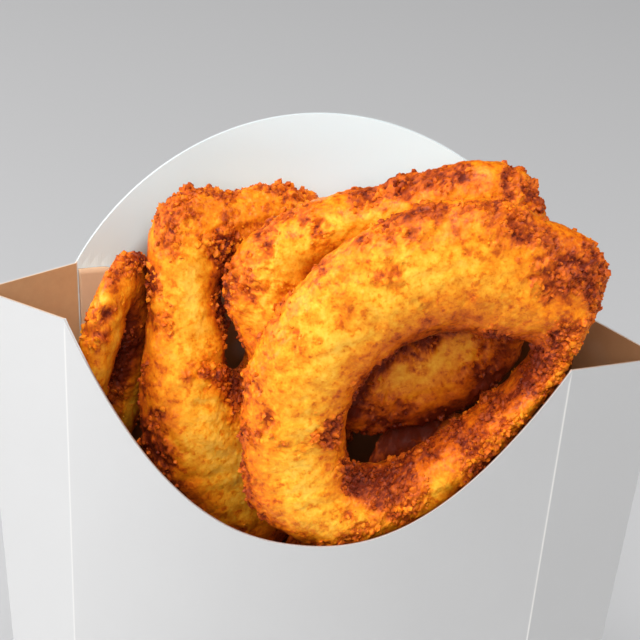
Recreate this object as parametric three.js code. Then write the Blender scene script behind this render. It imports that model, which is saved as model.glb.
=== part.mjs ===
// Onion rings side: breaded onion rings standing in a paperboard scoop carton.
// Millimetres, +Z up, the front of the carton faces -Y, the origin is the centre of its base.
import * as THREE from 'three';

// ---------------------------------------------------------------- driving sizes: carton
const BOARD = 0.6;              // thickness of the paperboard
const FLOOR = 0.8;              // thickness of the folded base
const SHOULDER = 120;           // height of the corners where the panels meet the side gussets
const BASE_HALF_WIDTH = 43.6;   // centre line to a panel corner, at the base
const MOUTH_FRONT_LEFT = 48.9;  // centre line to the front left corner, at the shoulder
const MOUTH_FRONT_RIGHT = 51.0;
const MOUTH_BACK = 51.7;
const BASE_HALF_DEPTH = 10.0;   // centre line to a panel corner, front to back
const MOUTH_HALF_DEPTH = 13.3;
const BASE_BULGE = 4.0;         // how far the middle of a panel bows out past its corners
const MOUTH_BULGE = 12.8;
const GUSSET_FLARE = 1.33;      // gusset fold, sideways past the corner, per mm of half depth
const TIP_DROP = 1.8;           // the gusset folds end this much lower than the corners
const SCOOP_DEPTH = 40.3;       // dip of the front panel's edge below the shoulder
const SCOOP_POWER = 2.3;        // 2 is a parabola, more is flatter in the middle
const BACK_RISE = 32.8;         // sagitta of the back panel's round top edge

// ---------------------------------------------------------------- driving sizes: crust
const CRAG_HEIGHT = 0.14;       // height of the crust's lumps above and below the mean surface
const CRAG_LENGTH = 9.0;        // length of the longest lumps
const CRAG_WAVES = 6;
const CRAG_SHRINK = 0.1;        // each wave is shorter than the one before by this share of the longest
const CRAG_SHIFT = 1.7;         // keeps the waves of one ring out of step
const CRAG_BEND = 2.2;          // sideways swing that keeps the lumps from lining up in rows
const CRAG_BEND_LENGTH = 17.0;

// ---------------------------------------------------------------- driving sizes: rings
// centre:  a point inside the hole, from which the ring is measured
// stretch: everything in the ring's plane is this much longer along it and shorter across it
// lean, turn, roll:  degrees; the top tips back, the ring turns about +Z, the ring turns in its plane
// edge:    mean distance from the centre to the outer edge, and the waves on it, in mm:
//          [once cosine, once sine], [twice cosine, twice sine], and so on
// hole:    mean distance from the centre to the hole's edge, and the waves on it
// axial:   half thickness across the plane, with [once cosine, once sine]
// heel:    an extra lump of that half thickness [height, place in degrees, width in degrees]
const RINGS = [
  {
    name: 'onion_ring_front', centre: [24.4, -9.8, 110.4], stretch: 1.44,
    lean: -2, turn: 12, roll: 43.9,
    edge: 33.6, edgeWaves: [[-1, 9.3], [-4.9, 3], [0.8, -3], [1.2, -1.1], [0.4, 0.8]],
    hole: 15.2, holeWaves: [[-0.7, 0.7], [-0.9, -1.1], [-0.4, -1.7]],
    axial: 7.6, axialWave: [-0.075, -0.025],
    segments: 76, sides: 18, colour: 0xf0a02c,
  },
  {
    name: 'onion_ring_second', centre: [16.2, 3.1, 126.2], stretch: 1.34,
    lean: 2, turn: 9, roll: 28,
    edge: 29.3, edgeWaves: [[-2.7, -0.3], [-5.5, 1.1], [1.6, 2.6], [0.3, 0.7], [-0.2, -1.1], [0.2, -0.4]],
    hole: 9.5, holeWaves: [[-0.2, 4], [1.9, -0.6], [3.1, -0.8], [0.6, 2.4]],
    axial: 6, axialWave: [0, 0],
    segments: 60, sides: 16, colour: 0xe8902a,
  },
  {
    name: 'onion_ring_left', centre: [-15.6, 7.1, 113.6], stretch: 0.74,
    lean: 7.5, turn: 31, roll: 7.1,
    edge: 31.9, edgeWaves: [[1.6, -7.3], [3, 0.8], [3.1, 0.4], [0.1, 0.2], [0.6, -0.7], [-0.1, 0.5], [0.4, -0.1]],
    hole: 6.8, holeWaves: [[-0.8, 1.6], [0.4, 2.2], [0.6, 0.5], [-1.3, 0]],
    axial: 5.4, axialWave: [-0.22, -0.04],
    heel: [2, 211, 28],
    segments: 68, sides: 16, colour: 0xe9962c,
  },
  {
    name: 'onion_ring_edge', centre: [-42.7, 1, 97.5], stretch: 0.44,
    lean: -8, turn: 68, roll: 0,
    edge: 20, edgeWaves: [[0.1, 0], [6.9, 0], [0, 0], [1.3, 0]],
    hole: 6.5, holeWaves: [[0.1, 0], [-1.4, 0], [0, 0], [0.4, 0]],
    axial: 3.4, axialWave: [0, 0],
    segments: 48, sides: 12, colour: 0xdc8a28,
  },
  {
    name: 'onion_ring_lower_left', centre: [-33.2, -2.6, 37.4], stretch: 0.59,
    lean: 2, turn: 4, roll: 2,
    edge: 24.6, edgeWaves: [[0.7, -1.1], [5, -0.1], [0.8, 0.3]],
    hole: 11.7, holeWaves: [[0.9, -0.2], [-2.3, -0.2], [0.4, 0.9]],
    axial: 4.8, axialWave: [0, 0],
    segments: 40, sides: 11, colour: 0xd98428,
  },
  {
    name: 'onion_ring_lower_middle', centre: [5.1, -4.3, 38.2], stretch: 0.5,
    lean: 2, turn: 0, roll: -2,
    edge: 23.6, edgeWaves: [[-0.3, -0.1], [5.8, 0], [0.4, 0]],
    hole: 9.3, holeWaves: [[0.4, 0], [-3.3, 0], [0.5, 0.1]],
    axial: 4.8, axialWave: [0, 0],
    segments: 40, sides: 11, colour: 0xd98428,
  },
  {
    name: 'onion_ring_lower_right', centre: [34.4, -4, 37], stretch: 0.49,
    lean: 2, turn: -4, roll: -1,
    edge: 22.6, edgeWaves: [[1.1, 0.6], [5.7, 0.3], [0, 0.5]],
    hole: 8.1, holeWaves: [[0.9, 0.5], [-2.7, -0.6], [-0.8, 0]],
    axial: 4.4, axialWave: [0, 0],
    segments: 40, sides: 11, colour: 0xd98428,
  },
  {
    name: 'onion_ring_lower_back', centre: [26.9, 6.5, 48.9], stretch: 0.47,
    lean: 0, turn: -2, roll: -4,
    edge: 32.7, edgeWaves: [[-0.6, 0.9], [13.2, 0], [0.4, 0], [2.4, 0]],
    hole: 17.6, holeWaves: [[0, 0.1], [0.7, 0], [0.7, -0.7], [-1.6, 0.1]],
    axial: 4, axialWave: [0, 0],
    segments: 48, sides: 12, colour: 0xd98428,
  },
];

// ---------------------------------------------------------------- mesh helpers

// A closed surface from a grid of points that wraps round in both directions.
function torusGrid(rows, columns, pointAt) {
  const positions = [];
  const index = [];
  for (let i = 0; i < rows; i += 1) {
    for (let j = 0; j < columns; j += 1) {
      positions.push(...pointAt(i, j));
      const nextRow = (i + 1) % rows;
      const nextColumn = (j + 1) % columns;
      const a = i * columns + j;
      const b = nextRow * columns + j;
      const c = nextRow * columns + nextColumn;
      const d = i * columns + nextColumn;
      index.push(a, b, c, a, c, d);
    }
  }
  return indexedGeometry(positions, index);
}

function indexedGeometry(positions, index) {
  const geometry = new THREE.BufferGeometry();
  geometry.setAttribute('position', new THREE.Float32BufferAttribute(positions, 3));
  geometry.setIndex(index);
  geometry.computeVertexNormals();
  return geometry;
}

function lerp(from, to, share) {
  return from + (to - from) * share;
}

// ---------------------------------------------------------------- onion rings

// Smooth lumps: waves in directions spread by the golden angle, each a little shorter than the
// last, in a space that is itself bent by slow waves.
const GOLDEN_ANGLE = Math.PI * (3 - Math.sqrt(5));

function crag(point, seed) {
  const swing = (value) => CRAG_BEND * Math.sin(2 * Math.PI * value / CRAG_BEND_LENGTH + seed);
  const x = point.x + swing(point.z);
  const y = point.y + swing(point.x);
  const z = point.z + swing(point.y);
  let sum = 0;
  for (let k = 0; k < CRAG_WAVES; k += 1) {
    const up = 1 - (2 * k + 1) / CRAG_WAVES;
    const flat = Math.sqrt(1 - up * up);
    const angle = GOLDEN_ANGLE * k;
    const along = x * flat * Math.cos(angle) + y * flat * Math.sin(angle) + z * up;
    const waveLength = CRAG_LENGTH * (1 - CRAG_SHRINK * k);
    sum += Math.sin(2 * Math.PI * along / waveLength + seed * (k + CRAG_SHIFT));
  }
  return sum / Math.sqrt(CRAG_WAVES / 2);
}

// The ring's own directions: along, across, and through its plane towards the front.
function ringFrame(ring) {
  const turn = THREE.MathUtils.degToRad(ring.turn);
  const lean = THREE.MathUtils.degToRad(ring.lean);
  const roll = THREE.MathUtils.degToRad(ring.roll);
  const placed = new THREE.Matrix4().makeRotationZ(turn);
  placed.multiply(new THREE.Matrix4().makeRotationX(-lean));
  placed.multiply(new THREE.Matrix4().makeRotationY(-roll));
  const along = new THREE.Vector3();
  const back = new THREE.Vector3();
  const across = new THREE.Vector3();
  placed.extractBasis(along, back, across);
  return { along, across, front: back.negate() };
}

// How far the outer edge or the hole's edge is from the ring's centre, at an angle round the ring.
function reach(mean, waves, angle) {
  let distance = mean;
  waves.forEach(([cosine, sine], i) => {
    const turns = (i + 1) * angle;
    distance += cosine * Math.cos(turns) + sine * Math.sin(turns);
  });
  return distance;
}

// Half thickness of the ring across its plane.
function halfDepth(ring, angle) {
  const wave = 1 + ring.axialWave[0] * Math.cos(angle) + ring.axialWave[1] * Math.sin(angle);
  if (!ring.heel) {
    return ring.axial * wave;
  }
  const [height, place, width] = ring.heel;
  const degrees = THREE.MathUtils.radToDeg(angle);
  const away = THREE.MathUtils.euclideanModulo(degrees - place + 180, 360) - 180;
  return ring.axial * wave + height * Math.exp(-((away / width) ** 2));
}

// One breaded ring. Each section is an ellipse on a ray from the centre, between the hole's edge
// and the outer edge, so that no two sections can cross.
function onionRing(ring, seed) {
  const frame = ringFrame(ring);
  const sections = [];
  for (let i = 0; i < ring.segments; i += 1) {
    const angle = 2 * Math.PI * i / ring.segments;
    const ray = frame.along.clone().multiplyScalar(ring.stretch * Math.cos(angle))
      .addScaledVector(frame.across, Math.sin(angle) / ring.stretch);
    const far = reach(ring.edge, ring.edgeWaves, angle);
    const near = reach(ring.hole, ring.holeWaves, angle);
    sections.push({
      middle: new THREE.Vector3(...ring.centre).addScaledVector(ray, (far + near) / 2),
      outward: ray.clone().normalize(),
      radial: ray.length() * (far - near) / 2,
      axial: halfDepth(ring, angle),
    });
  }
  return torusGrid(ring.segments, ring.sides, (i, j) => {
    const { middle, outward, radial, axial } = sections[i];
    const around = 2 * Math.PI * j / ring.sides;
    const c = Math.cos(around);
    const s = Math.sin(around);
    const point = middle.clone()
      .addScaledVector(outward, radial * c)
      .addScaledVector(frame.front, axial * s);
    const normal = outward.clone().multiplyScalar(c / radial)
      .addScaledVector(frame.front, s / axial).normalize();
    point.addScaledVector(normal, CRAG_HEIGHT * crag(point, seed));
    return point.toArray();
  });
}

// ---------------------------------------------------------------- carton

const PANEL_STEPS = 26;   // steps across the front or the back panel
const GUSSET_STEPS = 3;   // steps from a corner to the gusset's fold
const WALL_ROWS = 5;

// Stations round the carton: which wall, and the share of the way along it.
function stations() {
  const list = [];
  const wall = (side, steps) => {
    for (let i = 0; i < steps; i += 1) {
      list.push({ side, share: i / steps });
    }
  };
  wall('front', PANEL_STEPS);
  wall('right_front', GUSSET_STEPS);
  wall('right_back', GUSSET_STEPS);
  wall('back', PANEL_STEPS);
  wall('left_back', GUSSET_STEPS);
  wall('left_front', GUSSET_STEPS);
  return list;
}

// Half sizes of the section at a height. Above the shoulder they stay as they are there.
function sectionAt(height) {
  const share = Math.min(height / SHOULDER, 1);
  return {
    frontLeft: lerp(BASE_HALF_WIDTH, MOUTH_FRONT_LEFT, share),
    frontRight: lerp(BASE_HALF_WIDTH, MOUTH_FRONT_RIGHT, share),
    back: lerp(BASE_HALF_WIDTH, MOUTH_BACK, share),
    depth: lerp(BASE_HALF_DEPTH, MOUTH_HALF_DEPTH, share),
    bulge: lerp(BASE_BULGE, MOUTH_BULGE, share),
  };
}

// A point of the outer skin, in plan, at a station and a height.
function skin(station, height) {
  const { frontLeft, frontRight, back, depth, bulge } = sectionAt(height);
  const fold = GUSSET_FLARE * depth;
  const middle = (frontRight + back) / 2;
  const { side, share } = station;
  const u = 2 * share - 1;
  const bow = depth + bulge * (1 - u * u);
  switch (side) {
    case 'front':
      return [u * (u < 0 ? frontLeft : frontRight), -bow];
    case 'right_front':
      return [lerp(frontRight, middle + fold, share), lerp(-depth, 0, share)];
    case 'right_back':
      return [lerp(middle + fold, back, share), lerp(0, depth, share)];
    case 'back':
      return [-u * back, bow];
    case 'left_back':
      return [lerp(-back, -middle - fold, share), lerp(depth, 0, share)];
    default:
      return [lerp(-middle - fold, -frontLeft, share), lerp(0, -depth, share)];
  }
}

// Height of the mouth's edge at a station.
function rimHeight(station) {
  const u = 2 * station.share - 1;
  switch (station.side) {
    case 'front':
      return SHOULDER - SCOOP_DEPTH * (1 - Math.abs(u) ** SCOOP_POWER);
    case 'back': {
      const radius = (MOUTH_BACK ** 2 + BACK_RISE ** 2) / (2 * BACK_RISE);
      return SHOULDER + BACK_RISE - radius + Math.sqrt(radius ** 2 - (u * MOUTH_BACK) ** 2);
    }
    case 'right_front':
    case 'left_back':
      return SHOULDER - TIP_DROP * station.share;
    default:
      return SHOULDER - TIP_DROP * (1 - station.share);
  }
}

// The plan of the skin at one row, moved in by a distance square to its edges.
function planRow(list, heights, inset) {
  const outline = list.map((station, i) => new THREE.Vector2(...skin(station, heights[i])));
  return outline.map((point, i) => {
    const before = outline[(i + outline.length - 1) % outline.length];
    const after = outline[(i + 1) % outline.length];
    const edgeIn = point.clone().sub(before).normalize();
    const edgeOut = after.clone().sub(point).normalize();
    const inward = new THREE.Vector2(-edgeIn.y - edgeOut.y, edgeIn.x + edgeOut.x).normalize();
    const mitre = inward.x * -edgeIn.y + inward.y * edgeIn.x;
    return point.clone().addScaledVector(inward, inset / mitre);
  });
}

function cartonShell() {
  const list = stations();
  const count = list.length;
  const rim = list.map(rimHeight);
  const positions = [];
  const index = [];
  const addSkin = (inset, bottom) => {
    for (let row = 0; row <= WALL_ROWS; row += 1) {
      const heights = rim.map((top) => lerp(bottom, top, row / WALL_ROWS));
      planRow(list, heights, inset).forEach((point, i) => {
        positions.push(point.x, point.y, heights[i]);
      });
    }
  };
  addSkin(0, 0);
  addSkin(BOARD, FLOOR);
  const inside = count * (WALL_ROWS + 1);
  const quad = (a, b, c, d) => index.push(a, b, c, a, c, d);
  for (let i = 0; i < count; i += 1) {
    const next = (i + 1) % count;
    for (let row = 0; row < WALL_ROWS; row += 1) {
      const low = row * count;
      const high = low + count;
      quad(low + i, low + next, high + next, high + i);
      quad(inside + low + next, inside + low + i, inside + high + i, inside + high + next);
    }
    const rimRow = WALL_ROWS * count;
    quad(rimRow + i, rimRow + next, inside + rimRow + next, inside + rimRow + i);
  }
  const outerMiddle = positions.length / 3;
  positions.push(0, 0, 0);
  positions.push(0, 0, FLOOR);
  for (let i = 0; i < count; i += 1) {
    const next = (i + 1) % count;
    index.push(outerMiddle, next, i);
    index.push(outerMiddle + 1, inside + i, inside + next);
  }
  return indexedGeometry(positions, index);
}

// ---------------------------------------------------------------- the object

const paperboard = new THREE.MeshStandardMaterial({ color: 0xf0efec, roughness: 0.55, metalness: 0 });

const group = new THREE.Group();
const carton = new THREE.Mesh(cartonShell(), paperboard);
carton.name = 'carton';
group.add(carton);

RINGS.forEach((ring, i) => {
  const crust = new THREE.MeshStandardMaterial({ color: ring.colour, roughness: 0.6, metalness: 0 });
  const mesh = new THREE.Mesh(onionRing(ring, i + 1), crust);
  mesh.name = ring.name;
  group.add(mesh);
});

export default group;
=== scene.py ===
"""Onion rings side: crumbed, fried onion rings standing in a white paperboard scoop carton.

Shapes are worked out in millimetres, in the CAD model's frame, and put into meshes in metres.
+Z is up and the scooped front of the carton faces -Y.
"""
import math

import bmesh
import bpy
import numpy as np
from mathutils import Matrix, Vector


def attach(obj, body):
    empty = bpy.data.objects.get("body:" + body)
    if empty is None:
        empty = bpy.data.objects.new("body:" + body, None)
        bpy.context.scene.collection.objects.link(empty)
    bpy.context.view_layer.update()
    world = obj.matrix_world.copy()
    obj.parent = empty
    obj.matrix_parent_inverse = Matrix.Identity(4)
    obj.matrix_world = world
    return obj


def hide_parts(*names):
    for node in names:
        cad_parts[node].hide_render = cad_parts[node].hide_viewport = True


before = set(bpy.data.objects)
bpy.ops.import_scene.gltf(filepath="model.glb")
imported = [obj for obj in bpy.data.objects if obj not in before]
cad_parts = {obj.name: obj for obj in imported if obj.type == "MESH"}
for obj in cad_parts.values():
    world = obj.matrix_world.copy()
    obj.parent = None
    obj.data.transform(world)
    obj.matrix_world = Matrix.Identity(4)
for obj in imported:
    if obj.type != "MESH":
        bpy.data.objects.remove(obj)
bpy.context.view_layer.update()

MM = 0.001
GOLDEN_ANGLE = math.pi * (3 - math.sqrt(5))

# ---------------------------------------------------------------- carton sizes, mm
BOARD = 0.6
FLOOR = 0.8
SHOULDER = 120
BASE_HALF_WIDTH = 43.6
MOUTH_FRONT_LEFT = 48.9
MOUTH_FRONT_RIGHT = 51.0
MOUTH_BACK = 51.7
BASE_HALF_DEPTH = 10.0
MOUTH_HALF_DEPTH = 13.3
BASE_BULGE = 4.0
MOUTH_BULGE = 12.8
GUSSET_FLARE = 1.33
TIP_DROP = 1.8
SCOOP_DEPTH = 40.3
SCOOP_POWER = 2.3
BACK_RISE = 32.8

# ---------------------------------------------------------------- ring sizes, mm and degrees
CRAG_HEIGHT = 0.14
CRAG_LENGTH = 9.0
CRAG_WAVES = 6
CRAG_SHRINK = 0.1      # each wave is shorter than the one before by this share of the first
CRAG_SHIFT = 1.7
CRAG_BEND = 2.2
CRAG_BEND_LENGTH = 17.0

# ---------------------------------------------------------------- crumb coat, mm
# How crumbly a place is: slow noise of these lengths and weights, the ring's edges and the marks.
CRUMBLY_NOISE = ((7.0, 1.0), (3.2, 0.7))
CRUMBLY_EDGE = 0.8
CRUMBLY_EDGE_POWER = 3
CRUMBLY_MARK = 3.5
CRUMBLY_FROM = 0.15
BATTER_NOISE = ((4.5, 0.17), (2.0, 0.08))    # length and height
# Size, height, and the share of that height that is left where it is smooth.
CHIPS = ((2.9, 0.8, 0.0), (1.9, 0.6, 0.1), (1.2, 0.46, 0.28), (0.8, 0.22, 0.3))
CHIP_SHIFT = 0.3
CHIP_SHIFT_LENGTH = 1.3
CHIP_TILT = 0.7
CHIP_LEVEL = 0.45      # the random number of a chip that lies level with the batter
CHIP_RAISED = 1.6      # how soon a chip above that counts as raised crumb
GROOVE_WIDTH = 0.22    # in chip sizes
GROOVE_DEPTH = 0.3
PIT_FROM = -0.05
PIT_FULL = -0.5

# How much darker a place is, where it is wholly so: fried darker at the outer edge and in crumbly
# places, partly fried and partly painted shade on the hole's side, and painted shade along the hole's
# rim, on undersides and between rings.
DARK_OUTER_EDGE = 0.26
DARK_HOLE_SIDE = 0.26
SHADE_HOLE_RIM = 0.22
SHADE_UNDERSIDE = 0.26
DARK_CRUMBLY = 0.08
SHADE_BETWEEN = 0.45
# Where each of those begins and where it is full: cosines round the section for the hole's side
# and its rim, the height of the normal for undersides, and the distance to another ring.
HOLE_SIDE = (0.0, 0.8)
HOLE_RIM = (0.68, 0.97)
UNDERSIDE = (0.3, -0.7)
BETWEEN_RINGS = (6.5, 0.5)

# The grids that the distance between rings is found on.
COARSER = 5                # how many times coarser than the ring's own mesh
OTHER_GRID = (110, 20)
ROWS_AT_ONCE = 200

# ---------------------------------------------------------------- loose crumbs, mm
CRUMB_SIZE = 0.28
CRUMB_SPREAD = 0.38
CRUMB_SPREAD_CRUMBLY = 0.32    # added in crumbly places
CRUMB_POWER = 3
CRUMB_SUNK = 0.05              # share of its size that a crumb sits below the crust
CRUMB_STRETCH = (0.65, 1.3)
CRUMB_DENTS = (0.6, 1.25)
CRUMB_TRIES = 3
CRUMB_FAVOUR = 1.2             # how strongly crumbs keep to crumbly places
CRUMB_RAISED = 0.7
CLEAR = 10.0                   # a distance to other rings that darkens nothing

# ---------------------------------------------------------------- rings
# The same rings as the CAD solids, measured on rays from a centre inside the hole: the mean
# distance to the outer edge and to the hole's edge, with waves on both. around and section are
# this mesh's steps.
RINGS = [
    dict(name="onion_ring_front", centre=(24.4, -9.8, 110.4), stretch=1.44,
         lean=-2, turn=12, roll=43.9,
         edge=33.6, edge_waves=((-1, 9.3), (-4.9, 3), (0.8, -3), (1.2, -1.1), (0.4, 0.8)),
         hole=15.2, hole_waves=((-0.7, 0.7), (-0.9, -1.1), (-0.4, -1.7)),
         axial=7.6, axial_wave=(-0.075, -0.025), heel=None,
         around=640, section=150, crumbs=2300),
    dict(name="onion_ring_second", centre=(16.2, 3.1, 126.2), stretch=1.34,
         lean=2, turn=9, roll=28,
         edge=29.3, edge_waves=((-2.7, -0.3), (-5.5, 1.1), (1.6, 2.6), (0.3, 0.7), (-0.2, -1.1),
                                (0.2, -0.4)),
         hole=9.5, hole_waves=((-0.2, 4), (1.9, -0.6), (3.1, -0.8), (0.6, 2.4)),
         axial=6, axial_wave=(0, 0), heel=None,
         around=560, section=130, crumbs=1500),
    dict(name="onion_ring_left", centre=(-15.6, 7.1, 113.6), stretch=0.74,
         lean=7.5, turn=31, roll=7.1,
         edge=31.9, edge_waves=((1.6, -7.3), (3, 0.8), (3.1, 0.4), (0.1, 0.2), (0.6, -0.7),
                                (-0.1, 0.5), (0.4, -0.1)),
         hole=6.8, hole_waves=((-0.8, 1.6), (0.4, 2.2), (0.6, 0.5), (-1.3, 0)),
         axial=5.4, axial_wave=(-0.22, -0.04), heel=(2, 211, 28),
         around=480, section=200, crumbs=1600),
    dict(name="onion_ring_edge", centre=(-42.7, 1, 97.5), stretch=0.44,
         lean=-8, turn=68, roll=0,
         edge=20, edge_waves=((0.1, 0), (6.9, 0), (0, 0), (1.3, 0)),
         hole=6.5, hole_waves=((0.1, 0), (-1.4, 0), (0, 0), (0.4, 0)),
         axial=3.4, axial_wave=(0, 0), heel=None,
         around=400, section=80, crumbs=700),
    dict(name="onion_ring_lower_left", centre=(-33.2, -2.6, 37.4), stretch=0.59,
         lean=2, turn=4, roll=2,
         edge=24.6, edge_waves=((0.7, -1.1), (5, -0.1), (0.8, 0.3)),
         hole=11.7, hole_waves=((0.9, -0.2), (-2.3, -0.2), (0.4, 0.9)),
         axial=4.8, axial_wave=(0, 0), heel=None,
         around=180, section=50, crumbs=0),
    dict(name="onion_ring_lower_middle", centre=(5.1, -4.3, 38.2), stretch=0.5,
         lean=2, turn=0, roll=-2,
         edge=23.6, edge_waves=((-0.3, -0.1), (5.8, 0), (0.4, 0)),
         hole=9.3, hole_waves=((0.4, 0), (-3.3, 0), (0.5, 0.1)),
         axial=4.8, axial_wave=(0, 0), heel=None,
         around=180, section=50, crumbs=0),
    dict(name="onion_ring_lower_right", centre=(34.4, -4, 37), stretch=0.49,
         lean=2, turn=-4, roll=-1,
         edge=22.6, edge_waves=((1.1, 0.6), (5.7, 0.3), (0, 0.5)),
         hole=8.1, hole_waves=((0.9, 0.5), (-2.7, -0.6), (-0.8, 0)),
         axial=4.4, axial_wave=(0, 0), heel=None,
         around=180, section=50, crumbs=0),
    dict(name="onion_ring_lower_back", centre=(26.9, 6.5, 48.9), stretch=0.47,
         lean=0, turn=-2, roll=-4,
         edge=32.7, edge_waves=((-0.6, 0.9), (13.2, 0), (0.4, 0), (2.4, 0)),
         hole=17.6, hole_waves=((0, 0.1), (0.7, 0), (0.7, -0.7), (-1.6, 0.1)),
         axial=4, axial_wave=(0, 0), heel=None,
         around=240, section=50, crumbs=0),
]

# Places that are darker (more than 0) or paler (less than 0) than the rest, some fried so, others
# painted shade and painted highlights as each group says:
# x, y, z in mm, radius in mm, amount.
MARKS = {
    "onion_ring_front": (
        # the right tip: partly darker-fried crust, partly painted shade on the side away from the
        # light
        (34, -16, 138, 8, 0.08), (38, -12, 147, 5, 0.08), (46, -11, 145, 8, 0.14),
        (44, -14, 135, 5, 0.12), (52, -11, 138, 7, 0.22), (52, -11, 134, 6, 0.08),
        (48, -13, 127, 6, 0.18),
        # brown crumbs along the top
        (13, -12, 148, 2, 0.22), (16, -13, 150, 2, 0.26), (21, -14, 151, 2, 0.22),
        (22, -18, 146, 1.9, 0.22), (27, -16, 148, 1.8, 0.22), (7, -22, 131, 2.6, 0.28),
        # painted highlights on the crowns that face the light
        (2, -22, 127, 6, -0.12), (20, -19, 141, 5, -0.12), (0, -23, 95, 6, -0.1),
        (2, -22, 107, 1.4, -0.25),
        # the hole's left end and the lower limb: painted shade where they face away from the light
        (5, -20, 104, 2.5, 0.28), (9, -17, 92, 4, 0.16), (14, -16, 91, 5, 0.18),
        (20, -18, 89, 6, 0.2), (34, -16, 98, 8, 0.22), (46, -13, 113, 7, 0.22)),
    "onion_ring_second": (
        # the top
        (6, 4, 145, 5, 0.15), (16, 5, 149.5, 6, 0.18), (23, 0, 149, 5, 0.12),
        (28, 5, 153, 6, 0.14), (39, 4, 149, 6, 0.12),
        # the left side, paler: painted light where the light falls
        (-11, -6, 133, 4, -0.1), (-11, -7, 123, 4, -0.1),
        # painted shadow: a dark band where the front ring's hole edge shades this ring
        (6.5, -4.5, 100.5, 3, 0.4), (8, -4.5, 104, 2.8, 0.5), (9.5, -4.5, 108.5, 2.8, 0.5),
        (13, -3.8, 112.5, 2.6, 0.5), (17, -2.8, 116, 2.4, 0.5), (21.5, -1.9, 118.5, 2.4, 0.5),
        (26, -1.2, 121, 2.4, 0.5), (29, -0.5, 122.5, 2.4, 0.5), (34, 0, 121, 4.5, 0.3),
        # painted shade on what the hole shows, where the front ring shades it
        (17, -3, 106, 10, 0.1), (30, -2, 112, 10, 0.12), (31, -1, 111, 2.5, 0.1),
        (18, -3, 99, 4, 0.2), (26, -2, 101, 4, 0.15)),
    "onion_ring_left": (
        # the top
        (-27, 0, 138, 8, 0.1), (-8, 5, 140, 8, 0.12), (-20, 1, 134, 3, 0.32),
        # the right side, down to the heel's crease
        (-19, 2, 129, 2.5, 0.3), (-19, 3, 123, 2.5, 0.35), (-19, 3, 117, 2.5, 0.35),
        (-25, -8, 107, 1.8, 0.2), (-22, -6, 108, 1.8, 0.25), (-19, -4, 106, 2, 0.25),
        (-16, 0, 101, 2.5, 0.28),
        # painted highlights on the crowns that face the light
        (-25, -4, 126, 3, -0.15), (-25, -5, 121, 3, -0.15), (-20, -8, 90, 7, -0.08),
        # painted shade beside the carton's scoop
        (-31, -9, 93, 4, 0.08), (-28, -9, 87, 4, 0.06), (-23, -8, 80, 4, 0.15)),
    "onion_ring_edge": (
        # the top
        (-40, -7, 126, 2, 0.2), (-42, -2, 127, 5, 0.08),
        # a painted highlight on a ridge between grooves darkened as painted shade
        (-42, -9, 123, 1.5, -0.35), (-43, -10, 119, 1.5, -0.35), (-44, -10, 114, 1.5, -0.3),
        (-41, -9, 120, 1.2, 0.4), (-42, -9, 115, 1.2, 0.4),
        # painted shade in the crevice beside the tall left ring
        (-38, 0, 117, 4, 0.1), (-39, 2, 107, 5, 0.35)),
    # painted shade: darkens what shows through the gaps
    "onion_ring_lower_back": ((16, 4.5, 91, 9, 0.5),),
}


# ---------------------------------------------------------------- numbers

def lerp(low, high, share):
    """The value that share of the way from low to high gives."""
    return low + (high - low) * share


def smooth(low, high, x):
    """A soft step: 0 below low, 1 above high, and the cubic 3t2 - 2t3 between."""
    t = np.clip((x - low) / (high - low), 0, 1)
    return t * t * (3 - 2 * t)


def unit(v):
    """Vectors in rows, made 1 long."""
    return v / np.maximum(np.linalg.norm(v, axis=-1, keepdims=True), 1e-12)


def scramble(i, j, k, seed):
    """A fixed random number from 0 to 1 for each whole-number lattice point (i, j, k)."""
    h = (i.astype(np.uint32) * np.uint32(374761393) + j.astype(np.uint32) * np.uint32(668265263)
         + k.astype(np.uint32) * np.uint32(2147483647) + np.uint32(seed * 2654435 + 97))
    h ^= h >> np.uint32(13)
    h *= np.uint32(1274126177)
    h ^= h >> np.uint32(16)
    h *= np.uint32(2246822519)
    h ^= h >> np.uint32(13)
    return (h & np.uint32(0xFFFFFF)).astype(np.float64) / 0xFFFFFF


def noise(p, length, seed):
    """Smooth noise from -1 to 1: lattice values blended along x, y and z with a cubic."""
    q = p / length + 1000
    base = np.floor(q).astype(np.int64)
    t = q - base
    t = t * t * (3 - 2 * t)
    total = 0
    for di in (0, 1):
        for dj in (0, 1):
            for dk in (0, 1):
                weight = (np.where(di, t[:, 0], 1 - t[:, 0]) * np.where(dj, t[:, 1], 1 - t[:, 1])
                          * np.where(dk, t[:, 2], 1 - t[:, 2]))
                corner = scramble(base[:, 0] + di, base[:, 1] + dj, base[:, 2] + dk, seed)
                total = total + weight * corner
    return total * 2 - 1


def cells(p, size, seed):
    """Jittered cells: distances to the nearest and second nearest centre, the nearest one's
    random number, and how far the point lies from it along a random direction, all in cells."""
    q = p / size + 1000
    base = np.floor(q).astype(np.int64)
    nearest = np.full(len(p), 9.0)
    second = np.full(len(p), 9.0)
    number = np.zeros(len(p))
    lean = np.zeros(len(p))
    for di in (-1, 0, 1):
        for dj in (-1, 0, 1):
            for dk in (-1, 0, 1):
                i, j, k = base[:, 0] + di, base[:, 1] + dj, base[:, 2] + dk
                off_x = q[:, 0] - i - scramble(i, j, k, seed)
                off_y = q[:, 1] - j - scramble(i, j, k, seed + 1)
                off_z = q[:, 2] - k - scramble(i, j, k, seed + 2)
                own = scramble(i, j, k, seed + 3)
                turn = own * 40 * math.pi
                tilt = off_x * np.cos(turn) + off_y * np.sin(turn) + off_z * np.sin(2.7 * turn)
                d = np.sqrt(off_x ** 2 + off_y ** 2 + off_z ** 2)
                closer = d < nearest
                second = np.where(closer, nearest, np.minimum(second, d))
                number = np.where(closer, own, number)
                lean = np.where(closer, tilt, lean)
                nearest = np.where(closer, d, nearest)
    return nearest, second, number, lean


# ---------------------------------------------------------------- meshes

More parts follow.
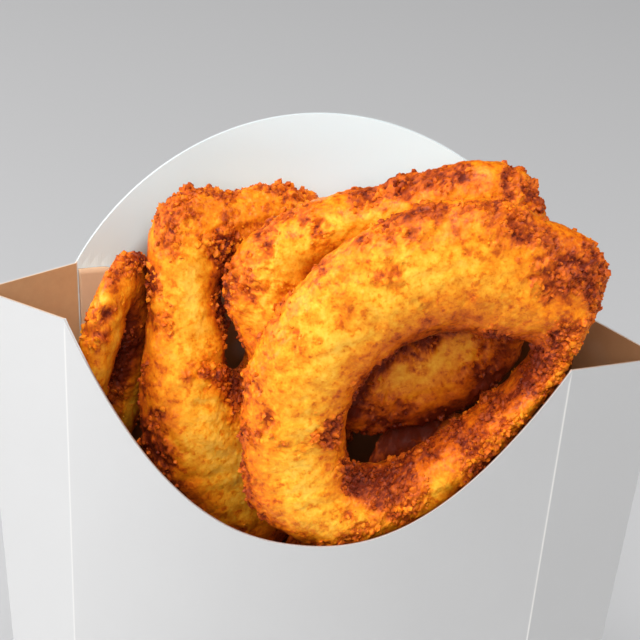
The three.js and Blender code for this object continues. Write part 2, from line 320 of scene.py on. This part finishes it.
def put(name, points, faces, values, material, node=None, smooth_faces=True):
    """Makes a mesh piece from points in mm, faces and named values for each point."""
    mesh = bpy.data.meshes.new(name)
    mesh.from_pydata([], [], [])
    mesh.vertices.add(len(points))
    mesh.vertices.foreach_set("co", (points * MM).astype(np.float32).ravel())
    corners = faces.shape[1]
    mesh.loops.add(faces.size)
    mesh.loops.foreach_set("vertex_index", faces.astype(np.int32).ravel())
    mesh.polygons.add(len(faces))
    mesh.polygons.foreach_set("loop_start", np.arange(0, faces.size, corners, dtype=np.int32))
    mesh.polygons.foreach_set("use_smooth", np.full(len(faces), smooth_faces))
    mesh.update(calc_edges=True)
    mesh.validate()
    for key, value in values.items():
        attribute = mesh.attributes.new(key, "FLOAT", "POINT")
        attribute.data.foreach_set("value", value.astype(np.float32).ravel())
    mesh.materials.append(material)
    piece = bpy.data.objects.new(name, mesh)
    bpy.context.scene.collection.objects.link(piece)
    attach(piece, "root")
    if node:
        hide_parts(node)


def wrap_faces(rows, columns):
    """Quads of a grid of points that closes on itself both ways."""
    i, j = np.meshgrid(np.arange(rows), np.arange(columns), indexing="ij")
    next_i, next_j = (i + 1) % rows, (j + 1) % columns
    quads = [i * columns + j, next_i * columns + j, next_i * columns + next_j, i * columns + next_j]
    return np.stack(quads, -1).reshape(-1, 4)


# ---------------------------------------------------------------- shader maths

class Value:
    """A socket of a material's nodes, with the arithmetic of Math nodes."""

    def __init__(self, nodes, socket):
        self.nodes = nodes
        self.socket = socket

    def _math(self, operation, first, second):
        node = self.nodes.make("ShaderNodeMath", {"operation": operation}, {0: first, 1: second})
        return Value(self.nodes, node.outputs[0])

    def __add__(self, other):
        return self._math("ADD", self, other)

    def __mul__(self, other):
        return self._math("MULTIPLY", self, other)

    def __sub__(self, other):
        return self._math("SUBTRACT", self, other)

    def __rsub__(self, other):
        return self._math("SUBTRACT", other, self)

    __radd__ = __add__
    __rmul__ = __mul__

    def clamp(self):
        return self._math("MINIMUM", self._math("MAXIMUM", self, 0.0), 1.0)

    def step(self, low, high):
        """0 below low, 1 above high, soft between."""
        node = self.nodes.make("ShaderNodeMapRange", {"interpolation_type": "SMOOTHSTEP"},
                               {"Value": self, "From Min": low, "From Max": high})
        return Value(self.nodes, node.outputs["Result"])


class Material:
    """A node material whose shader is one Principled BSDF."""

    def __init__(self, name):
        self.material = bpy.data.materials.new(name)
        self.material.use_nodes = True
        self.tree = self.material.node_tree
        self.shader = self.tree.nodes["Principled BSDF"]

    def make(self, kind, settings=None, inputs=None):
        """Any node: its type, its settings, then the values or links of its sockets."""
        node = self.tree.nodes.new(kind)
        for key, value in (settings or {}).items():
            setattr(node, key, value)
        for key, value in (inputs or {}).items():
            self.set(node.inputs[key], value)
        return node

    def set(self, socket, value):
        """Links a Value to a socket, or sets a plain number or colour on it."""
        if isinstance(value, Value):
            self.tree.links.new(value.socket, socket)
        else:
            socket.default_value = value

    def attribute(self, name):
        """One of the values that put gives each point."""
        node = self.make("ShaderNodeAttribute", {"attribute_name": name})
        return Value(self, node.outputs["Fac"])

    def place(self):
        """The point's place in the frame, in metres."""
        return Value(self, self.make("ShaderNodeTexCoord").outputs["Object"])

    def noise(self, per_metre, detail, rough):
        """Soft noise, 0 to 1, with its lumps per metre and finer octaves."""
        node = self.make("ShaderNodeTexNoise", None, {
            "Vector": self.place(), "Scale": per_metre, "Detail": detail, "Roughness": rough})
        return Value(self, node.outputs["Fac"])

    def cell(self, per_metre):
        """Distance to the nearest of scattered points, in cells."""
        node = self.make("ShaderNodeTexVoronoi", None, {"Vector": self.place(), "Scale": per_metre})
        return Value(self, node.outputs["Distance"])

    def mix(self, share, low, high):
        """A blend of two colours."""
        node = self.make("ShaderNodeMix", {"data_type": "RGBA"}, {0: share, 6: low, 7: high})
        return Value(self, node.outputs[2])

    def ramp(self, value, stops):
        """A colour looked up between (place, colour) stops."""
        node = self.make("ShaderNodeValToRGB", None, {"Fac": value})
        elements = node.color_ramp.elements
        while len(elements) < len(stops):
            elements.new(0.5)
        for element, (place, colour) in zip(elements, stops):
            element.position = place
            element.color = colour
        return Value(self, node.outputs["Color"])

    def bump(self, height, depth_m, strength):
        """Fine relief of the shader's normal."""
        node = self.make("ShaderNodeBump", None, {
            "Height": height, "Distance": depth_m, "Strength": strength})
        self.tree.links.new(node.outputs["Normal"], self.shader.inputs["Normal"])


def srgb(red, green, blue):
    """A colour as it looks on screen, 0 to 255, as the linear colour that shaders use."""
    def linear(c):
        c /= 255
        return c / 12.92 if c <= 0.04045 else ((c + 0.055) / 1.055) ** 2.4
    return (linear(red), linear(green), linear(blue), 1.0)


def fried_crumb():
    """Fried breadcrumb: one value runs from pale gold through orange to dark brown. It is the
    ring's own browning together with painted shade and painted highlights, made uneven by noise
    at three scales, with darker grains, specks, pits and raised crumbs."""
    m = Material("fried_crumb")
    patch = m.noise(per_metre=270, detail=2.0, rough=0.6)
    grain = m.noise(per_metre=520, detail=3.0, rough=0.6)
    fine = m.noise(per_metre=1200, detail=2.0, rough=0.6)
    speck = m.cell(per_metre=800)
    grit = m.cell(per_metre=1500)
    crumb = m.attribute("crumb")
    pit = m.attribute("pit")
    uneven = (patch - 0.5) * 0.5 + (grain - 0.5) * 0.6 + (fine - 0.5) * 0.36
    spots = grain.step(0.56, 0.66) * 0.14 + speck.step(0.3, 0.1) * 0.12
    raised = crumb * (m.attribute("tone") * 0.36 + 0.02)
    done_and_shade = m.attribute("brown_and_shade") + uneven + spots + raised + pit * 0.3 + 0.07
    colour = m.ramp(done_and_shade, (
        (0.0, srgb(252, 190, 66)), (0.16, srgb(245, 167, 40)), (0.36, srgb(231, 131, 19)),
        (0.58, srgb(204, 94, 15)), (0.8, srgb(158, 62, 15)), (1.0, srgb(108, 34, 10))))
    m.set(m.shader.inputs["Base Color"], colour)
    m.set(m.shader.inputs["Roughness"], (0.5 - grain * 0.3 + pit * 0.3 + crumb * 0.2).clamp())
    m.shader.inputs["Specular IOR Level"].default_value = 0.16
    m.shader.inputs["Subsurface Weight"].default_value = 0.1
    m.shader.inputs["Subsurface Radius"].default_value = (1.0, 0.4, 0.12)
    m.shader.inputs["Subsurface Scale"].default_value = 0.0012
    m.bump(fine - grit * 0.2, depth_m=0.0004, strength=0.38)
    return m.material


def paperboard():
    """Coated white board, with bare kraft board inside the gussets. Painted into its colour: shade low
    down inside, highlights along two folds and on the glue flap, and more light on the inside's white
    and the right gusset."""
    m = Material("paperboard")
    fibre = m.noise(per_metre=420, detail=4.0, rough=0.6)
    cloud = m.noise(per_metre=60, detail=2.0, rough=0.5)
    deep_shade = m.attribute("deep_shade")
    low_shade = (deep_shade + (cloud - 0.5) * 0.6 * deep_shade).clamp()
    white = m.mix(cloud, srgb(188, 188, 188), srgb(191, 191, 191))
    # painted light: the inside's white is bluer and brighter than the outside's, cancelling the rings'
    # warm bounce and standing in for more light inside
    white = m.mix(m.attribute("inside"), white, srgb(215, 229, 232))
    # painted shade: the board inside is darkened low down, where the rings shadow it
    white = m.mix(low_shade, white, srgb(112, 66, 30))
    kraft = m.mix(fibre, srgb(184, 140, 98), srgb(202, 158, 114))
    colour = m.mix(m.attribute("kraft"), white, kraft)
    # painted highlights along two folds and painted light on the glue flap
    colour = m.mix(m.attribute("painted_light"), colour, srgb(247, 245, 240))
    m.set(m.shader.inputs["Base Color"], colour)
    m.set(m.shader.inputs["Roughness"], 0.42 + m.attribute("kraft") * 0.35 + fibre * 0.08)
    m.bump(fibre, depth_m=0.00004, strength=0.5)
    return m.material


# ---------------------------------------------------------------- onion rings

def ring_frame(ring):
    """The ring's directions: along and across its plane, and through it towards the front."""
    placed = (Matrix.Rotation(math.radians(ring["turn"]), 3, "Z")
              @ Matrix.Rotation(math.radians(-ring["lean"]), 3, "X")
              @ Matrix.Rotation(math.radians(-ring["roll"]), 3, "Y"))
    axes = np.array(placed)
    return axes[:, 0], axes[:, 2], -axes[:, 1]


def reach(mean, waves, angle):
    """Distance from the ring's centre to an edge: the mean plus waves that go k times round."""
    return mean + sum(a * np.cos((k + 1) * angle) + b * np.sin((k + 1) * angle)
                      for k, (a, b) in enumerate(waves))


def half_depth(ring, angle):
    """Half thickness across the ring's plane, uneven round the ring, thicker at the heel."""
    once, quarter = ring["axial_wave"]
    depth = ring["axial"] * (1 + once * np.cos(angle) + quarter * np.sin(angle))
    if ring["heel"]:
        height, place, width = ring["heel"]
        away = (np.degrees(angle) - place + 180) % 360 - 180
        depth = depth + height * np.exp(-(away / width) ** 2)
    return depth


def crag(p, seed):
    """Smooth lumps: sine waves in directions spread by the golden angle, bent by slower waves."""
    p = p + CRAG_BEND * np.sin(2 * math.pi * np.roll(p, 1, axis=1) / CRAG_BEND_LENGTH + seed)
    total = 0
    for k in range(CRAG_WAVES):
        up = 1 - (2 * k + 1) / CRAG_WAVES
        flat = math.sqrt(1 - up * up)
        turn = GOLDEN_ANGLE * k
        along = p @ np.array([flat * math.cos(turn), flat * math.sin(turn), up])
        length = CRAG_LENGTH * (1 - CRAG_SHRINK * k)
        total = total + np.sin(2 * math.pi * along / length + seed * (k + CRAG_SHIFT))
    return total / math.sqrt(CRAG_WAVES / 2)


def mean_surface(ring, angle, around):
    """The ring's smooth surface and outward normals: each section is an ellipse on a ray from the
    centre, between the hole's edge and the outer edge."""
    along, across, front = ring_frame(ring)
    ray = (ring["stretch"] * np.cos(angle)[:, None] * along
           + np.sin(angle)[:, None] / ring["stretch"] * across)
    far = reach(ring["edge"], ring["edge_waves"], angle)
    near = reach(ring["hole"], ring["hole_waves"], angle)
    outward = unit(ray)
    radial = np.linalg.norm(ray, axis=1) * (far - near) / 2
    axial = half_depth(ring, angle)
    c, s = np.cos(around), np.sin(around)
    middle = np.array(ring["centre"]) + ((far + near) / 2)[:, None] * ray
    points = middle + (radial * c)[:, None] * outward + (axial * s)[:, None] * front
    normals = unit((c / radial)[:, None] * outward + (s / axial)[:, None] * front)
    return points, normals


def marked(name, p):
    """The sum of the ring's marks at each point, each a bell curve of its distance."""
    total = np.zeros(len(p))
    for x, y, z, radius, amount in MARKS.get(name, ()):
        away = ((p - np.array((x, y, z))) ** 2).sum(1) / radius ** 2
        total = total + amount * np.exp(-away)
    return total


def crust(p, edge, mark, seed):
    """Height of the crumb coat in mm, how much is raised crumb, each crumb's tone, the pits, and
    how crumbly the place is.

    Batter: smooth noise. Chips: cells that are tilted flats at random heights, parted by grooves
    where the nearest and second nearest centres are equally far. They are coarse and tall in
    crumbly places, which follow slow noise, the marks and the outer and inner edges of the ring,
    and low elsewhere."""
    shift = np.stack([noise(p, CHIP_SHIFT_LENGTH, seed + k) for k in (11, 12, 13)], 1)
    q = p + CHIP_SHIFT * shift
    slow = sum(weight * noise(p, length, seed + 21 + k)
               for k, (length, weight) in enumerate(CRUMBLY_NOISE))
    rough = smooth(0.0, 1.0, slow + CRUMBLY_EDGE * edge + CRUMBLY_MARK * np.maximum(mark, 0)
                   - CRUMBLY_FROM)
    height = sum(tall * noise(p, length, seed + 31 + k)
                 for k, (length, tall) in enumerate(BATTER_NOISE))
    crumb = np.zeros(len(p))
    tone = np.full(len(p), 0.5)
    for size, tall, least in CHIPS:
        near, second, number, lean = cells(q, size, seed + int(size * 100))
        flat = smooth(0.0, GROOVE_WIDTH, second - near)
        share = least + (1 - least) * rough
        up = (number - CHIP_LEVEL) + CHIP_TILT * lean
        height = height + tall * share * (up * flat - GROOVE_DEPTH * rough * (1 - flat))
        stands = np.clip(up * CHIP_RAISED, 0, 1) * flat * share
        tone = np.where(stands > crumb, (number * 7919) % 1, tone)
        crumb = np.maximum(crumb, stands)
    pit = smooth(PIT_FROM, PIT_FULL, height)
    return height, crumb, tone, pit, rough


def round_grid(rows, columns):
    """Even angles along a ring and round its section, for every point of a grid."""
    angle, around = np.meshgrid(np.arange(rows) * 2 * math.pi / rows,
                                np.arange(columns) * 2 * math.pi / columns, indexing="ij")
    return angle.ravel(), around.ravel()


def clearance(ring, rows, columns):
    """Distance in mm from a grid of points on a ring to the other rings, found on a coarser grid
    and then filled in along both ways."""
    some_rows, some_columns = rows // COARSER, columns // COARSER
    here = mean_surface(ring, *round_grid(some_rows, some_columns))[0]
    there = np.concatenate([mean_surface(other, *round_grid(*OTHER_GRID))[0]
                            for other in RINGS if other is not ring])
    nearest = np.concatenate([
        np.sqrt(((part[:, None] - there[None]) ** 2).sum(2).min(1))
        for part in np.array_split(here, 1 + len(here) // ROWS_AT_ONCE)])
    nearest = nearest.reshape(some_rows, some_columns)
    at_row = np.arange(rows) * some_rows / rows
    at_column = np.arange(columns) * some_columns / columns
    row, column = at_row.astype(int), at_column.astype(int)
    down, across = (at_row - row)[:, None], (at_column - column)[None]
    next_row, next_column = (row + 1) % some_rows, (column + 1) % some_columns
    top = lerp(nearest[row][:, column], nearest[row][:, next_column], across)
    bottom = lerp(nearest[next_row][:, column], nearest[next_row][:, next_column], across)
    return lerp(top, bottom, down).ravel()


def doneness_and_shade(around, normal, rough, mark, close):
    """How dark a place is, 0 to 1: fried darker at the outer edge and in crumbly places, partly
    fried darker and partly painted shade on the hole's side, painted shade along the hole's rim,
    on undersides and in the hollows between rings, and the marks."""
    outer = smooth(0.0, 1.0, np.cos(around))
    # the hole's side: partly fried darker, partly painted shade
    inner = smooth(*HOLE_SIDE, -np.cos(around))
    # painted shade along the hole's rim
    rim = smooth(*HOLE_RIM, -np.cos(around))
    # painted shade on undersides
    under = smooth(*UNDERSIDE, normal[:, 2])
    # painted shade in the hollows between rings
    between = smooth(*BETWEEN_RINGS, close)
    return (DARK_OUTER_EDGE * outer + DARK_HOLE_SIDE * inner + SHADE_HOLE_RIM * rim
            + SHADE_UNDERSIDE * under + DARK_CRUMBLY * rough + mark + SHADE_BETWEEN * between)


def coated(ring, index, angle, around):
    """Points on a ring's crust: its mean surface, moved out by the lumps of the solid and the
    crumb coat. With them come their normals, marks, how crumbly they are, and the coat's values."""
    mean, normal = mean_surface(ring, angle, around)
    edge = np.abs(np.cos(around)) ** CRUMBLY_EDGE_POWER
    mark = marked(ring["name"], mean)
    height, crumb, tone, pit, rough = crust(mean, edge, mark, 100 * (index + 1))
    points = mean + (CRAG_HEIGHT * crag(mean, index + 1) + height)[:, None] * normal
    return points, normal, mark, rough, {"crumb": crumb, "tone": tone, "pit": pit}


def onion_ring(ring, index, material):
    """A ring's crust as a grid of points that closes on itself both ways."""
    angle, around = round_grid(ring["around"], ring["section"])
    points, normal, mark, rough, values = coated(ring, index, angle, around)
    close = clearance(ring, ring["around"], ring["section"])
    values["brown_and_shade"] = doneness_and_shade(around, normal, rough, mark, close)
    put(ring["name"] + "_crust", points, wrap_faces(ring["around"], ring["section"]), values,
        material, ring["name"])


# ---------------------------------------------------------------- loose crumbs

def chunk_shape():
    """A ball of 12 points and 20 faces."""
    ball = bmesh.new()
    bmesh.ops.create_icosphere(ball, subdivisions=1, radius=1.0)
    points = np.array([v.co[:] for v in ball.verts])
    faces = np.array([[v.index for v in f.verts] for f in ball.faces])
    ball.free()
    return points, faces


def turned(rng, count):
    """Random turns as matrices, each from a unit quaternion with normally distributed parts."""
    w, x, y, z = unit(rng.normal(size=(count, 4))).T
    return np.stack([
        np.stack([1 - 2 * (y * y + z * z), 2 * (x * y - w * z), 2 * (x * z + w * y)], -1),
        np.stack([2 * (x * y + w * z), 1 - 2 * (x * x + z * z), 2 * (y * z - w * x)], -1),
        np.stack([2 * (x * z - w * y), 2 * (y * z + w * x), 1 - 2 * (x * x + y * y)], -1)], 1)


def loose_crumbs(ring, index, material):
    """Broken crumbs stuck on the crust: dented balls, each stretched and turned at random. More
    places are drawn than there are crumbs, and the crumbliest are mostly kept."""
    rng = np.random.default_rng(500 + index)
    count = ring["crumbs"]
    angle = rng.uniform(0, 2 * math.pi, CRUMB_TRIES * count)
    around = rng.uniform(0, 2 * math.pi, CRUMB_TRIES * count)
    seat, normal, mark, rough, _ = coated(ring, index, angle, around)
    keep = np.argsort(rng.uniform(0, 1, len(seat)) - CRUMB_FAVOUR * rough)[:count]
    seat, normal, mark, rough, around = (v[keep] for v in (seat, normal, mark, rough, around))
    spread = CRUMB_SPREAD + CRUMB_SPREAD_CRUMBLY * rough
    size = CRUMB_SIZE + spread * rng.uniform(0, 1, count) ** CRUMB_POWER
    seat = seat - CRUMB_SUNK * size[:, None] * normal
    ball, faces = chunk_shape()
    shape = ball[None] * rng.uniform(*CRUMB_STRETCH, (count, 1, 3))
    turn = turned(rng, count)
    shape = shape * rng.uniform(*CRUMB_DENTS, (count, len(ball), 1))
    shape = np.einsum("nij,nkj->nki", turn, shape) * size[:, None, None]
    points = (seat[:, None] + shape).reshape(-1, 3)
    all_faces = (faces[None] + (np.arange(count) * len(ball))[:, None, None]).reshape(-1, 3)
    each = np.repeat(rng.uniform(0, 1, count), len(ball))
    brown_and_shade = doneness_and_shade(around, normal, rough, mark, CLEAR)
    values = {"crumb": np.full(len(points), CRUMB_RAISED), "tone": each,
              "pit": np.zeros(len(points)), "brown_and_shade": np.repeat(brown_and_shade, len(ball))}
    put(ring["name"] + "_crumbs", points, all_faces, values, material,
        smooth_faces=False)


# ---------------------------------------------------------------- carton

FRONT_STEPS = 90
GUSSET_STEPS = 22
WALL_ROWS = 44
CROWDING = 0.1146      # how far steps along a wall draw towards its folds, as a share of the wall
GUSSET_KRAFT_AND_PAINTED_LIGHT = (1.0, 0.4)          # how much of the kraft's colour the left and right gussets show; the right's smaller share is painted light, paling a gusset that gets little light
# painted highlights: pale lines along the folds where these walls begin, with their strength
HIGHLIGHT_FOLDS = (("right_front", 0.7), ("front", 0.3))
FLAP_STEPS = 24
FLAP_ROWS = 50
FLAP_SHARE = 0.075     # width of the glue flap as a share of the back panel
FLAP_ROUND = 0.6       # where along its top the flap starts to round off
FLAP_DROP = 3.0
FLAP_TOP = 119.0
FLAP_BOTTOM = 60.0
FLAP_GAP = 0.15
FLAP_BOARD = 0.4
FLAP_LIGHT = 0.12       # how far the flap's kraft goes towards near white, painted light standing in for light on the flap
SHADE_LOW = 104.0        # painted shade darkens the board inside up to here at the far left
SHADE_HIGH = 124.0       # and up to here from the middle to the right
SHADE_STEP = (-50.0, -36.0)
SHADE_FADE = 5.0


def stations():
    """Which wall and how far along it, round the carton; closer together near the folds."""
    walls = (("front", FRONT_STEPS), ("right_front", GUSSET_STEPS), ("right_back", GUSSET_STEPS),
             ("back", FRONT_STEPS), ("left_back", GUSSET_STEPS), ("left_front", GUSSET_STEPS))
    names, shares = [], []
    for name, steps in walls:
        even = np.arange(steps) / steps
        shares.append(even - CROWDING * np.sin(2 * math.pi * even))
        names += [name] * steps
    return np.array(names), np.concatenate(shares)


def skin(names, shares, height):
    """The outer skin in plan: sizes grow in a line from the base to the shoulder and stay so above.
    Panels bow out as a parabola, gussets are flat from a corner to their fold."""
    up = np.minimum(height / SHOULDER, 1)
    front_left = lerp(BASE_HALF_WIDTH, MOUTH_FRONT_LEFT, up)
    front_right = lerp(BASE_HALF_WIDTH, MOUTH_FRONT_RIGHT, up)
    back = lerp(BASE_HALF_WIDTH, MOUTH_BACK, up)
    depth = lerp(BASE_HALF_DEPTH, MOUTH_HALF_DEPTH, up)
    bulge = lerp(BASE_BULGE, MOUTH_BULGE, up)
    fold = (front_right + back) / 2 + GUSSET_FLARE * depth
    u = 2 * shares - 1
    bow = depth + bulge * (1 - u * u)
    x = np.select(
        [names == "front", names == "right_front", names == "right_back", names == "back",
         names == "left_back"],
        [u * np.where(u < 0, front_left, front_right), lerp(front_right, fold, shares),
         lerp(fold, back, shares), -u * back, lerp(-back, -fold, shares)],
        lerp(-fold, -front_left, shares))
    y = np.select(
        [names == "front", names == "right_front", names == "right_back", names == "back",
         names == "left_back"],
        [-bow, lerp(-depth, 0, shares), lerp(0, depth, shares), bow, lerp(depth, 0, shares)],
        lerp(0, -depth, shares))
    return np.stack([x, y], -1)


def rim_height(names, shares):
    """The mouth's edge: a power curve in front, a circle's arc behind, a slope on the gussets."""
    u = 2 * shares - 1
    radius = (MOUTH_BACK ** 2 + BACK_RISE ** 2) / (2 * BACK_RISE)
    front = SHOULDER - SCOOP_DEPTH * (1 - np.abs(u) ** SCOOP_POWER)
    back = SHOULDER + BACK_RISE - radius + np.sqrt(radius ** 2 - (u * MOUTH_BACK) ** 2)
    out = SHOULDER - TIP_DROP * shares
    home = SHOULDER - TIP_DROP * (1 - shares)
    return np.select([names == "front", names == "back",
                      (names == "right_front") | (names == "left_back")], [front, back, out], home)


def inset(outline, distance):
    """A closed outline moved in by a distance square to its edges."""
    before = unit(outline - np.roll(outline, 1, 0))
    after = unit(np.roll(outline, -1, 0) - outline)
    edge = np.stack([-before[:, 1], before[:, 0]], 1)
    inward = unit(edge + np.stack([-after[:, 1], after[:, 0]], 1))
    return outline + inward * (distance / (inward * edge).sum(1))[:, None]


def flap(material):
    """The glue flap inside the back's left edge: a thin slab with a rounded top corner."""
    across = np.linspace(0, 1, FLAP_STEPS)
    up = np.linspace(0, 1, FLAP_ROWS)
    corner = np.clip((across - FLAP_ROUND) / (1 - FLAP_ROUND), 0, 1)
    top = FLAP_TOP - FLAP_DROP * (1 - np.sqrt(1 - corner ** 2))
    share = 1 - across * FLAP_SHARE
    names = np.full(FLAP_STEPS, "back")
    layers = []
    for distance in (BOARD + FLAP_GAP, BOARD + FLAP_GAP + FLAP_BOARD):
        rows = []
        for t in up:
            height = lerp(FLAP_BOTTOM, top, t)
            plan = skin(names, share, height)
            rows.append(np.column_stack([plan[:, 0] + distance, plan[:, 1] - distance, height]))
        layers.append(np.stack(rows))
    sheet = np.concatenate([layers[0], layers[1][:, ::-1]], 1)
    points = sheet.reshape(-1, 3)
    columns = 2 * FLAP_STEPS
    i, j = np.meshgrid(np.arange(FLAP_ROWS - 1), np.arange(columns), indexing="ij")
    following = (j + 1) % columns
    sides = np.stack([i * columns + j, (i + 1) * columns + j, (i + 1) * columns + following,
                      i * columns + following], -1).reshape(-1, 4)
    k = np.arange(FLAP_STEPS - 1)
    other = columns - 1 - k
    bottom = np.stack([k, k + 1, other - 1, other], 1)
    lid = (FLAP_ROWS - 1) * columns + np.stack([k, other, other - 1, k + 1], 1)
    faces = np.concatenate([sides, bottom, lid])
    ones = np.ones(len(points))
    values = {"kraft": ones, "painted_light": FLAP_LIGHT * ones, "inside": ones, "deep_shade": 0 * ones}
    put("carton_glue_flap", points, faces, values, material)


def shell_faces(count):
    """Triangles of the carton: the outer and inner walls as rows of count points, the rim between
    their top rows, and a fan from a middle point to each bottom row for the floor's two sides."""
    i = np.arange(count)
    following = (i + 1) % count
    inside = count * (WALL_ROWS + 1)
    quads = []
    for row in range(WALL_ROWS):
        low, high = row * count, (row + 1) * count
        quads.append(np.stack([low + i, low + following, high + following, high + i], 1))
        quads.append(np.stack([inside + low + following, inside + low + i,
                               inside + high + i, inside + high + following], 1))
    top = WALL_ROWS * count
    quads.append(np.stack([top + i, top + following, inside + top + following, inside + top + i], 1))
    quads = np.concatenate(quads)
    under, over = 2 * inside, 2 * inside + 1
    fans = np.concatenate([np.stack([np.full(count, under), following, i], 1),
                           np.stack([np.full(count, over), inside + i, inside + following], 1)])
    return np.concatenate([quads[:, [0, 1, 2]], quads[:, [0, 2, 3]], fans])


def carton(material):
    """The board as a closed shell: outer skin, rim, inner skin, and the two sides of the floor."""
    names, shares = stations()
    rim = rim_height(names, shares)
    count = len(names)
    gusset = np.char.startswith(names, "right") | np.char.startswith(names, "left")
    left_kraft, right_kraft_painted_light = GUSSET_KRAFT_AND_PAINTED_LIGHT
    points, kraft, inside, deep_shade = [], [], [], []
    for distance, bottom in ((0, 0), (BOARD, FLOOR)):
        for row in range(WALL_ROWS + 1):
            height = lerp(bottom, rim, row / WALL_ROWS)
            plan = inset(skin(names, shares, height), distance)
            # the height up to which the inside is darkened as painted shade
            low_shade = lerp(SHADE_LOW, SHADE_HIGH, smooth(*SHADE_STEP, plan[:, 0]))
            points.append(np.column_stack([plan, height]))
            # the right gusset's inside is paler than the left's: painted light
            kraft.append(gusset * (distance > 0) * np.where(plan[:, 0] > 0, right_kraft_painted_light, left_kraft))
            inside.append(np.full(count, float(distance > 0)))
            deep_shade.append((distance > 0) * smooth(low_shade + SHADE_FADE, low_shade - SHADE_FADE, height))
    points.append(np.array([[0, 0, 0], [0, 0, FLOOR]]))
    floor_sides = [np.array([0.0, 1.0])]
    points = np.concatenate(points)
    painted_light = np.zeros(len(points))
    # painted highlights along the folds
    for wall, amount in HIGHLIGHT_FOLDS:
        corner = np.flatnonzero(names == wall)[0]
        painted_light[np.arange(WALL_ROWS) * count + corner] = amount
    values = {"kraft": np.concatenate(kraft + floor_sides), "painted_light": painted_light,
              "inside": np.concatenate(inside + floor_sides), "deep_shade": np.concatenate(deep_shade + floor_sides)}
    triangles = shell_faces(count)
    put("carton_board", points, triangles, values, material, "carton",
        smooth_faces=False)


# ---------------------------------------------------------------- floor, camera and lights

FLOOR_HALF = 3.0       # metres
CAMERA_PLACE = (56.6, -594.85, 408.99)
CAMERA_RIGHT = (0.99141, 0.11966, 0.05272)
CAMERA_UP = (-0.09947, 0.42841, 0.89809)
LENS = 188.0
SENSOR = 36.0
LIGHT_TARGET = (0, 0, 100)
LIGHT_DISTANCE = 1.3   # metres
WORLD_LIGHT = 0.04


def floor():
    """A plain pale floor, 6 m square."""
    m = Material("floor")
    m.shader.inputs["Base Color"].default_value = srgb(186, 186, 187)
    m.shader.inputs["Roughness"].default_value = 0.7
    mesh = bpy.data.meshes.new("floor")
    corners = [(x * FLOOR_HALF, y * FLOOR_HALF, 0) for x, y in ((-1, -1), (1, -1), (1, 1), (-1, 1))]
    mesh.from_pydata(corners, [], [(0, 1, 2, 3)])
    mesh.materials.append(m.material)
    thing = bpy.data.objects.new("floor", mesh)
    bpy.context.scene.collection.objects.link(thing)


def camera():
    """A long lens, 26 degrees above the horizon and 5 degrees round to the right, rolled a little."""
    right = Vector(CAMERA_RIGHT)
    up = Vector(CAMERA_UP)
    axes = Matrix((right, up, right.cross(up))).transposed().to_4x4()
    data = bpy.data.cameras.new("camera")
    data.lens = LENS
    data.sensor_width = SENSOR
    data.clip_start = 0.01
    data.clip_end = 50
    thing = bpy.data.objects.new("camera", data)
    thing.matrix_world = Matrix.Translation(Vector(CAMERA_PLACE) * MM) @ axes
    bpy.context.scene.collection.objects.link(thing)
    bpy.context.scene.camera = thing


def softbox(name, round_deg, up_deg, watts, size=0.6):
    """A square area light facing the object, round_deg to the right of the front and up_deg above
    the horizon. Sizes are in metres."""
    data = bpy.data.lights.new(name, "AREA")
    data.size = size
    data.energy = watts
    thing = bpy.data.objects.new(name, data)
    turn, up = math.radians(round_deg), math.radians(up_deg)
    towards = Vector((math.sin(turn) * math.cos(up), -math.cos(turn) * math.cos(up), math.sin(up)))
    thing.location = Vector(LIGHT_TARGET) * MM + towards * LIGHT_DISTANCE
    thing.rotation_mode = "QUATERNION"
    thing.rotation_quaternion = towards.to_track_quat("Z", "Y")
    bpy.context.scene.collection.objects.link(thing)


def lights():
    """Soft light mostly from the left and from high in front, with a dim white world."""
    softbox("left", -68, 18, 14)
    softbox("left_back", -118, 28, 4)
    softbox("top", -10, 66, 17, 0.8)
    softbox("front", 0, 30, 5.5)
    softbox("right", 88, 22, 6)
    world = bpy.data.worlds.new("world")
    world.use_nodes = True
    background = world.node_tree.nodes["Background"]
    background.inputs["Color"].default_value = (1, 1, 1, 1)
    background.inputs["Strength"].default_value = WORLD_LIGHT
    bpy.context.scene.world = world
    bpy.context.scene.view_settings.view_transform = "Standard"


# ---------------------------------------------------------------- the object

crumb_material = fried_crumb()
board_material = paperboard()
carton(board_material)
flap(board_material)
for number, one in enumerate(RINGS):
    onion_ring(one, number, crumb_material)
    if one["crumbs"]:
        loose_crumbs(one, number, crumb_material)
floor()
camera()
lights()

bpy.context.view_layer.update()
